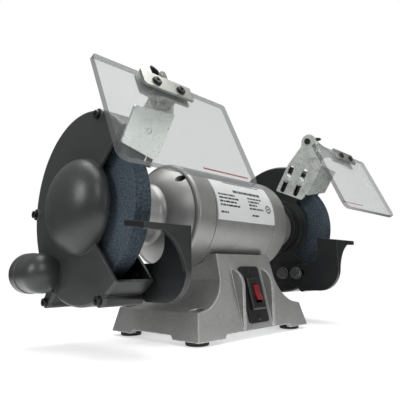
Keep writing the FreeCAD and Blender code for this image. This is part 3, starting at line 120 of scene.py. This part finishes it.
def coated(name, colour, rough, grain_size, depth, mottle=0.12, edge=None, wear_and_highlight=0.6, radius=0.7 * MM,
           metallic=0.0, speckle=0.1, patch=30 * MM, coat=0.0):
    """A sprayed or plated surface with grain, slow mottling and lighter edges: rubbed wear, and on the
    base partly a painted highlight.
    """
    finish, tree, skin = new_finish(name)
    fine = grain(tree, grain_size)
    slow = grain(tree, patch, detail=4.0)
    darker = tuple(c * (1 - mottle) for c in colour)
    lighter = tuple(min(1.0, c * (1 + mottle)) for c in colour)
    tone = mixed(tree, spread(tree, slow, "Fac", *NOISE_MOST, 0.0, 1.0), "Result", darker, lighter)
    fleck = tuple(c * (1 - 3 * speckle) for c in colour)
    dots = spread(tree, fine, "Fac", *FLECK_NOISE, speckle * 4, 0.0)
    tone = mixed(tree, dots, "Result", tone, fleck)
    rounded, rub_and_highlight = edge_mask(tree, radius)
    # Lighter edge colour: rubbed wear, and where it is near white, as on the base, partly a painted
    # highlight.
    if edge:
        uneven = spread(tree, grain(tree, RUB_AND_HIGHLIGHT_PATCH, detail=3.0), "Fac", *RUB_AND_HIGHLIGHT_NOISE, 0.25 * wear_and_highlight, wear_and_highlight)
        patchy = add(tree, "ShaderNodeMath", operation="MULTIPLY")
        join(tree, rub_and_highlight, "Result", patchy, 0)
        join(tree, uneven, "Result", patchy, 1)
        tone = mixed(tree, patchy, "Value", tone, edge)
    sheen = spread(tree, slow, "Fac", *NOISE_WIDE, rough - 0.05, rough + 0.06)
    join(tree, tone, MIX_RESULT, skin, "Base Color")
    join(tree, sheen, "Result", skin, "Roughness")
    relief = add(tree, "ShaderNodeBump", Strength=1.0, Distance=depth)
    join(tree, fine, "Fac", relief, "Height")
    join(tree, rounded, "Normal", relief, "Normal")
    join(tree, relief, "Normal", skin, "Normal")
    skin.inputs["Metallic"].default_value = metallic
    skin.inputs["Coat Weight"].default_value = coat
    return finish


def dress(finish, *names):
    """Gives these CAD nodes one finish."""
    for name in names:
        for place in nodes[name].material_slots:
            place.material = finish


SILVER = (0.33, 0.33, 0.325)
# The near-white edge colour at full strength is partly paint rubbed thin and partly a painted highlight
# along the cast edges.
base_enamel = coated("base silver enamel", SILVER, 0.34, 1.3 * MM, 0.45 * MM, mottle=0.12,
                     edge=(0.85, 0.85, 0.84), wear_and_highlight=1.0, radius=1.4 * MM, metallic=0.55, speckle=0.12)
dress(base_enamel, "base_casting")

# Feet: four moulded rubber pads under the corners of the base.
# The bench bolts go through a hole in each.
foot_rubber = coated("foot rubber", (0.012, 0.012, 0.012), 0.7, 0.8 * MM, 0.05 * MM)
dress(foot_rubber, "rubber_feet")

# Bottom plate: sheet steel that closes the base from below.
# It is held by black screws.
plain_steel = coated("turned steel", (0.55, 0.56, 0.57), 0.3, 0.5 * MM, 0.02 * MM, metallic=1.0,
                     speckle=0.05)
black_steel = coated("blackened steel", (0.012, 0.012, 0.013), 0.28, 0.5 * MM, 0.02 * MM, metallic=0.3,
                     edge=(0.2, 0.2, 0.2), wear_and_highlight=0.5, radius=0.4 * MM)
dress(plain_steel, "bottom_plate")
dress(black_steel, "bottom_plate_screws")

# Inside the base: a moulded run capacitor under a zinc-plated spring strap, and a terminal block.
# The cable gland in the rear face is moulded too.
can_plastic = coated("capacitor can", (0.7, 0.7, 0.66), 0.45, 2 * MM, 0.02 * MM)
zinc_plain = coated("bright zinc", (0.74, 0.78, 0.74), 0.28, 0.7 * MM, 0.04 * MM, mottle=0.06,
                    edge=(0.9, 0.92, 0.95), wear_and_highlight=0.5, radius=0.4 * MM, metallic=0.65, speckle=0.03,
                    patch=12 * MM)
black_plastic = coated("black moulding", (0.010, 0.010, 0.011), 0.30, 0.6 * MM, 0.03 * MM, mottle=0.05,
                       edge=(0.08, 0.08, 0.08), wear_and_highlight=0.5, radius=0.4 * MM)
dress(can_plastic, "run_capacitor")
dress(zinc_plain, "capacitor_clip")
dress(black_plastic, "terminal_block", "cord_gland")

# Switch: a moulded plate and body in the sloping front of the base, with a red rocker.
# Black screws hold the plate.
red_plastic = coated("red rocker", (0.15, 0.006, 0.010), 0.25, 0.6 * MM, 0.01 * MM, mottle=0.05,
                     edge=(0.6, 0.1, 0.1), wear_and_highlight=0.4, radius=0.4 * MM, coat=0.3)
dress(black_plastic, "switch_plate", "switch_body")
dress(black_steel, "switch_screws")
dress(red_plastic, "switch_rocker")

# Inside the motor: steel stator with varnished copper windings, steel rotor with cast end rings.
# The steel shaft runs in two bearings, held against play by a wave washer.
copper = coated("varnished copper", (0.45, 0.17, 0.07), 0.35, 0.8 * MM, 0.1 * MM, metallic=0.8)
cast_alloy = coated("cast alloy", (0.6, 0.6, 0.61), 0.45, 0.7 * MM, 0.1 * MM, metallic=0.9)
dress(plain_steel, "stator_core", "rotor_core", "left_bearing", "right_bearing", "wave_washer", "shaft")
dress(copper, "stator_windings")
dress(cast_alloy, "rotor_end_rings")

# Motor shell and end bells: rolled steel tube between two castings, all sprayed silver grey.
# Four long black tie bolts draw the bells onto the shell; the motor screws hold it on the saddle.
motor_enamel = coated("motor silver enamel", (0.28, 0.28, 0.275), 0.40, 0.45 * MM, 0.03 * MM, mottle=0.10,
                      edge=(0.75, 0.75, 0.74), wear_and_highlight=0.8, radius=0.8 * MM, metallic=0.6, speckle=0.05)
dress(motor_enamel, "motor_shell", "left_end_bell", "right_end_bell")
dress(black_steel, "tie_bolts", "motor_screws")

# Rating label: thin satin foil.
# It is stuck round the front of the shell.
label_foil = coated("label foil", (0.72, 0.73, 0.73), 0.4, 0.6 * MM, 0.01 * MM, mottle=0.03, metallic=0.3,
                    speckle=0.02)
dress(label_foil, "label_plate")

# Label print: a title bar, dashes in two columns and a ring, standing for the printed data.
# It is a film of black ink, so each mark is a thin curved block that follows the shell.
# Places across it are along the spindle, and places up it are degrees round the shell's front.
SPINDLE_Z = 0.1404
INK_R = 62.56 * MM
INK_DEPTH = 0.12 * MM
TITLE_ANGLE, TITLE_HEIGHT = 27.0, 3.6
NOTE_ANGLE, NOTE_HEIGHT = 40.5, 1.6
WORD_SHORTEST = 2.2
WORD_STEP = 0.55
WORD_GAP = 1.0 * MM
LEFT_COLUMN = -50 * MM
RIGHT_COLUMN = 4 * MM
PRINT_HEIGHT = 2.1
FIRST_ROW, ROW_PITCH, LAST_ROW = 21.5, 4.2, 1.0
RING_X, RING_ANGLE = 43, 12
RING_HALF_X, RING_HALF_ANGLE = 4.6, 4.2
RING_BLOCKS = 16
BLOCK_HALF_X, BLOCK_HALF_ANGLE = 0.9, 0.8
CENTRE_HALF_X, CENTRE_HALF_ANGLE = 1.8, 1.1


def ink_block(marks, x0, x1, low, high, steps=3):
    """A closed block between two places along the motor and two angles up its front."""
    corners = ((x0, INK_R), (x1, INK_R), (x1, INK_R - INK_DEPTH), (x0, INK_R - INK_DEPTH))
    rings = []
    for i in range(steps + 1):
        a = math.radians(low + (high - low) * i / steps)
        rings.append([marks.verts.new((x, -r * math.cos(a), SPINDLE_Z + r * math.sin(a)))
                      for x, r in corners])
    for below, above in zip(rings, rings[1:]):
        for i in range(4):
            j = (i + 1) % 4
            marks.faces.new((below[i], below[j], above[j], above[i]))
    marks.faces.new(rings[0][::-1])
    marks.faces.new(rings[-1])


def ink_line(marks, x0, x1, angle, height, seed):
    """One line of print as dashes, whose uneven lengths follow from the seed."""
    x = x0
    step = seed
    while x < x1:
        step = (step * 7 + 3) % 11
        word = (WORD_SHORTEST + WORD_STEP * step) * MM
        ink_block(marks, x, min(x + word, x1), angle, angle + height)
        x += word + WORD_GAP


def finished(name, marks, finish):
    """Turns mesh work into an object with outward faces and one finish."""
    bmesh.ops.recalc_face_normals(marks, faces=marks.faces)
    mesh = bpy.data.meshes.new(name)
    marks.to_mesh(mesh)
    marks.free()
    mesh.materials.append(finish)
    piece = bpy.data.objects.new(name, mesh)
    bpy.context.scene.collection.objects.link(piece)
    return piece


# The title bar, a fine line above it, four rows in two columns, a last row and the ring.
label_ink = coated("label ink", (0.035, 0.035, 0.037), 0.5, 0.5 * MM, 0.004 * MM, mottle=0.03,
                   speckle=0.03)
marks = bmesh.new()
ink_line(marks, -20 * MM, 34 * MM, TITLE_ANGLE, TITLE_HEIGHT, seed=4)
ink_line(marks, -30 * MM, 40 * MM, NOTE_ANGLE, NOTE_HEIGHT, seed=6)
for row in range(4):
    angle = FIRST_ROW - ROW_PITCH * row
    left_end = (-20 + 5 * (row % 2)) * MM
    right_end = (32 - 6 * (row % 3)) * MM
    ink_line(marks, LEFT_COLUMN, left_end, angle, PRINT_HEIGHT, seed=row)
    ink_line(marks, RIGHT_COLUMN, right_end, angle, PRINT_HEIGHT, seed=row + 5)
ink_line(marks, LEFT_COLUMN, -37 * MM, LAST_ROW, PRINT_HEIGHT, seed=2)
ink_line(marks, 8 * MM, 22 * MM, LAST_ROW, PRINT_HEIGHT, seed=8)
for i in range(RING_BLOCKS):
    turn = math.radians(i * 360 / RING_BLOCKS)
    x = RING_X + RING_HALF_X * math.cos(turn)
    angle = RING_ANGLE + RING_HALF_ANGLE * math.sin(turn)
    ink_block(marks, (x - BLOCK_HALF_X) * MM, (x + BLOCK_HALF_X) * MM,
              angle - BLOCK_HALF_ANGLE, angle + BLOCK_HALF_ANGLE, steps=1)
ink_block(marks, (RING_X - CENTRE_HALF_X) * MM, (RING_X + CENTRE_HALF_X) * MM,
          RING_ANGLE - CENTRE_HALF_ANGLE, RING_ANGLE + CENTRE_HALF_ANGLE, steps=1)
label_print = finished("label_print", marks, label_ink)
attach(label_print, "frame")

# Wheels: vitrified grit discs on plastic bushes, with paper blotters.
# A spindle nut clamps each one between two steel flanges.
wheel_grit = coated("blue grey grit", (0.082, 0.115, 0.150), 0.8, 1.7 * MM, 1.4 * MM, mottle=0.10,
                    edge=(0.2, 0.24, 0.29), wear_and_highlight=0.5, radius=1.2 * MM, speckle=0.25)
grey_plastic = coated("bush plastic", (0.3, 0.3, 0.3), 0.5, 1 * MM, 0.02 * MM)
blotter_paper = coated("blotter paper", (0.2, 0.25, 0.4), 0.9, 0.7 * MM, 0.05 * MM)
dress(wheel_grit, "left_wheel", "right_wheel")
dress(grey_plastic, "wheel_bushings")
dress(blotter_paper, "wheel_blotters")
dress(plain_steel, "left_inner_flange", "right_inner_flange", "left_outer_flange", "right_outer_flange",
      "left_spindle_nut", "right_spindle_nut")

# Inner guards: iron castings, sprayed near black.
# Screws from inside each one hold it on its end bell's neck.
guard_black = coated("guard black", (0.010, 0.011, 0.012), 0.34, 0.8 * MM, 0.08 * MM, mottle=0.1,
                     edge=(0.12, 0.12, 0.12), wear_and_highlight=0.5, radius=0.8 * MM)
dress(guard_black, "left_inner_guard", "right_inner_guard")
dress(black_steel, "guard_screws")

# Outer covers: castings with a hub dome and a dust port, sprayed dark grey.
# Four black socket screws hold each one on its inner guard.
cover_grey = coated("cover grey", (0.040, 0.043, 0.043), 0.34, 0.7 * MM, 0.06 * MM, mottle=0.08,
                    edge=(0.3, 0.31, 0.31), wear_and_highlight=0.5, radius=0.8 * MM, speckle=0.08)
dress(cover_grey, "left_outer_cover", "right_outer_cover")
dress(black_steel, "cover_screws")

# Tool rests: iron castings, sprayed black.
# Two hexagon bolts through its slot hold each one on the guard.
rest_black = coated("rest black", (0.011, 0.012, 0.013), 0.38, 0.8 * MM, 0.12 * MM, mottle=0.12,
                    edge=(0.14, 0.14, 0.14), wear_and_highlight=0.6, radius=0.9 * MM, speckle=0.12)
dark_steel = coated("dark plated steel", (0.26, 0.27, 0.27), 0.22, 0.5 * MM, 0.03 * MM, metallic=0.9,
                    edge=(0.6, 0.6, 0.6), wear_and_highlight=0.6, radius=0.4 * MM)
dress(rest_black, "left_tool_rest", "right_tool_rest")
dress(dark_steel, "rest_bolts")

# Spark brackets: zinc-plated steel plates, each with a deflector folded across the wheel.
# Bolts through the slots hold them; a moulded wing knob and a guide bolt carry the eye shield.
dress(zinc_plain, "left_spark_bracket", "right_spark_bracket", "bracket_bolts", "left_guide_bolt",
      "right_guide_bolt")
dress(black_plastic, "left_wing_knob", "right_wing_knob")

# Eye shields: a folded arm and a clamp bar, both plated steel, grip a clear acrylic sheet.
# Black button-head screws go through all three.
zinc_yellow = coated("yellow zinc", (0.35, 0.36, 0.325), 0.30, 0.8 * MM, 0.04 * MM, mottle=0.08,
                     edge=(0.85, 0.86, 0.85), wear_and_highlight=0.5, radius=0.4 * MM, metallic=0.65, speckle=0.04,
                     patch=14 * MM)
dress(zinc_yellow, "left_shield_arm", "right_shield_arm", "left_lens_clamp", "right_lens_clamp")
dress(black_steel, "left_clamp_screws", "right_clamp_screws")
SHEET_TILT = math.radians(24.2)
SHEET_NORMAL = (0.0, math.cos(SHEET_TILT), -math.sin(SHEET_TILT))
ACRYLIC_IOR = 1.49
POLISH = (0.04, 0.10)
VEIL = (0.02, 0.05)
GLANCE_POWER = 4.0
EDGE_SHOW = 0.55
EDGE_START, EDGE_FULL = 0.8, 0.3


def clear_acrylic():
    """Clear sheet with a pale veil, polished faces, and edge faces painted dark grey as painted shade."""
    finish, tree, skin = new_finish("clear acrylic")
    output = tree.nodes["Material Output"]
    haze = grain(tree, 25 * MM, 3.0)
    place = add(tree, "ShaderNodeTexCoord")
    across = add(tree, "ShaderNodeVectorMath", operation="DOT_PRODUCT")
    join(tree, place, "Normal", across, 0)
    across.inputs[1].default_value = SHEET_NORMAL
    flat = add(tree, "ShaderNodeMath", operation="ABSOLUTE")
    join(tree, across, "Value", flat, 0)
    edge = spread(tree, flat, "Value", EDGE_FULL, EDGE_START, 1.0, 0.0)
    join(tree, spread(tree, haze, "Fac", *NOISE_MOST, *POLISH), "Result", skin, "Roughness")
    # Faces across the sheet's thickness get a dark grey colour and show more opaque: painted shade along
    # the lens edges.
    body = mixed(tree, edge, "Result", (0.80, 0.82, 0.82), (0.14, 0.145, 0.145))
    join(tree, body, MIX_RESULT, skin, "Base Color")
    skin.inputs["IOR"].default_value = ACRYLIC_IOR
    clear = add(tree, "ShaderNodeBsdfTransparent", Color=(0.80, 0.81, 0.805, 1.0))
    facing = add(tree, "ShaderNodeLayerWeight", Blend=0.5)
    steep = add(tree, "ShaderNodeMath", operation="POWER")
    join(tree, facing, "Facing", steep, 0)
    steep.inputs[1].default_value = GLANCE_POWER
    veil = spread(tree, haze, "Fac", *NOISE_MOST, *VEIL)
    total = add(tree, "ShaderNodeMath", operation="ADD")
    join(tree, steep, "Value", total, 0)
    join(tree, veil, "Result", total, 1)
    whole = add(tree, "ShaderNodeMath", operation="ADD", use_clamp=True)
    join(tree, total, "Value", whole, 0)
    join(tree, spread(tree, edge, "Result", 0.0, 1.0, 0.0, EDGE_SHOW), "Result", whole, 1)
    blend = add(tree, "ShaderNodeMixShader")
    join(tree, whole, "Value", blend, 0)
    join(tree, clear, "BSDF", blend, 1)
    join(tree, skin, "BSDF", blend, 2)
    join(tree, blend, "Shader", output, "Surface")
    return finish


acrylic = clear_acrylic()
dress(acrylic, "left_shield_lens", "right_shield_lens")

# Lens print: a red line near the lower edge of each lens.
# It is a film of ink, just outside to just inside the back face of the 5 mm sheet.
SHEET_TOP_Y, SHEET_TOP_Z = -106.0, 244.6
INK_OUTSIDE, INK_INSIDE = 5.06, 4.95
LINE_NEAR, LINE_FAR = 97, 157
LINE_TOP, LINE_LOW = 88.2, 89.8


def on_sheet(x, along, depth):
    """Point on a lens: across it, down its slope from the top edge, and back from its front face."""
    y = SHEET_TOP_Y - along * math.sin(SHEET_TILT) + depth * math.cos(SHEET_TILT)
    z = SHEET_TOP_Z - along * math.cos(SHEET_TILT) - depth * math.sin(SHEET_TILT)
    return (x * MM, y * MM, z * MM)


def sheet_mark(marks, x0, x1, top, low):
    """A film of ink on the lens's back face."""
    corners = [(x0, top), (x1, top), (x1, low), (x0, low)]
    back = [marks.verts.new(on_sheet(x, d, INK_OUTSIDE)) for x, d in corners]
    front = [marks.verts.new(on_sheet(x, d, INK_INSIDE)) for x, d in corners]
    marks.faces.new(back)
    marks.faces.new(front[::-1])
    for i in range(4):
        j = (i + 1) % 4
        marks.faces.new((back[i], front[i], front[j], back[j]))


lens_ink = coated("lens ink", (0.55, 0.06, 0.04), 0.5, 0.5 * MM, 0.004 * MM, mottle=0.05, speckle=0.03)
for side, word in ((-1, "left"), (1, "right")):
    marks = bmesh.new()
    x0, x1 = sorted((side * LINE_FAR, side * LINE_NEAR))
    sheet_mark(marks, x0, x1, LINE_TOP, LINE_LOW)
    lens_print = finished(word + "_lens_print", marks, lens_ink)
    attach(lens_print, word + "_shield")

# Floor: a wide white sheet that glows a little, so that shadows stay pale.
# It fades out away from the grinder, into the white behind.
FLOOR_HALF = 6.0
FLOOR_GLOW = 0.45
FADE_START, FADE_END = 0.30, 0.62
floor_mesh = bpy.data.meshes.new("floor")
floor_corners = [(-FLOOR_HALF, -FLOOR_HALF, 0), (FLOOR_HALF, -FLOOR_HALF, 0),
                 (FLOOR_HALF, FLOOR_HALF, 0), (-FLOOR_HALF, FLOOR_HALF, 0)]
floor_mesh.from_pydata(floor_corners, [], [(0, 1, 2, 3)])
floor = bpy.data.objects.new("floor", floor_mesh)
bpy.context.scene.collection.objects.link(floor)
floor_white, tree, skin = new_finish("floor white")
skin.inputs["Base Color"].default_value = (0.85, 0.85, 0.85, 1.0)
skin.inputs["Roughness"].default_value = 0.9
skin.inputs["Emission Color"].default_value = (1.0, 1.0, 1.0, 1.0)
skin.inputs["Emission Strength"].default_value = FLOOR_GLOW
distance = add(tree, "ShaderNodeVectorMath", operation="LENGTH")
join(tree, add(tree, "ShaderNodeTexCoord"), "Object", distance, 0)
join(tree, spread(tree, distance, "Value", FADE_START, FADE_END, 1.0, 0.0), "Result", skin, "Alpha")
floor_mesh.materials.append(floor_white)

# Studio: white where the camera sees it.
# For light and reflections it is a grey room instead, dark at the horizon and lighter overhead.
ROOM_LOW, ROOM_HIGH = -0.1, 1.0
ROOM_DARK, ROOM_LIGHT = 0.05, 0.50
world = bpy.data.worlds.new("studio")
bpy.context.scene.world = world
world.use_nodes = True
tree = world.node_tree
sky = tree.nodes["Background"]
seen = add(tree, "ShaderNodeLightPath")
place = add(tree, "ShaderNodeTexCoord")
height = add(tree, "ShaderNodeSeparateXYZ")
join(tree, place, "Generated", height, 0)
fade = spread(tree, height, "Z", ROOM_LOW, ROOM_HIGH, ROOM_DARK, ROOM_LIGHT)
room = mixed(tree, fade, "Result", (0.0, 0.0, 0.0), (1.0, 1.0, 1.0))
backdrop = mixed(tree, seen, "Is Camera Ray", room, (1.0, 1.0, 1.0))
join(tree, backdrop, MIX_RESULT, sky, "Color")
sky.inputs["Strength"].default_value = 1.0
bpy.context.scene.view_settings.view_transform = "Standard"


# Lights: four large soft boxes, overhead, in front, at the right front and at the left side.
# All of them are aimed at the middle of the motor.
MIDDLE = (0.0, 0.0, 0.14)


def soft_box(name, place, width, height, watts):
    """A rectangular light of this size in metres, aimed at the middle of the grinder."""
    light = bpy.data.lights.new(name, "AREA")
    light.shape = "RECTANGLE"
    light.size = width
    light.size_y = height
    light.energy = watts
    holder = bpy.data.objects.new(name, light)
    holder.location = place
    holder.rotation_euler = (Vector(MIDDLE) - Vector(place)).to_track_quat("-Z", "Y").to_euler()
    bpy.context.scene.collection.objects.link(holder)


soft_box("overhead", (0.1, 0.0, 1.5), 1.5, 1.2, 22)
soft_box("front", (-0.9, -1.5, 1.2), 0.35, 0.9, 9)
soft_box("right front", (0.6, -1.7, 0.5), 0.3, 1.0, 5)
soft_box("left side", (-1.7, 0.0, 0.8), 0.5, 0.7, 9)

# Camera: low at the left front, looking slightly up at the grinder.
# Its axes are built from yaw, pitch and a slight roll.
EYE = Vector((-0.4060, -0.3773, 0.0750))
YAW, PITCH, ROLL = (math.radians(a) for a in (45.57, 9.378, -0.722))
SENSOR_WIDTH = 36.0
LENS = 37.79
LENS_SHIFT = 0.0056
forward = Vector((math.sin(YAW) * math.cos(PITCH), math.cos(YAW) * math.cos(PITCH), math.sin(PITCH)))
level = Vector((math.cos(YAW), -math.sin(YAW), 0.0))
upright = level.cross(forward)
right = level * math.cos(ROLL) + upright * math.sin(ROLL)
up = upright * math.cos(ROLL) - level * math.sin(ROLL)
camera_data = bpy.data.cameras.new("camera")
camera_data.sensor_width = SENSOR_WIDTH
camera_data.lens = LENS
camera_data.shift_y = LENS_SHIFT
camera = bpy.data.objects.new("camera", camera_data)
camera.matrix_world = Matrix.Translation(EYE) @ Matrix((right, up, -forward)).transposed().to_4x4()
bpy.context.scene.collection.objects.link(camera)
bpy.context.scene.camera = camera
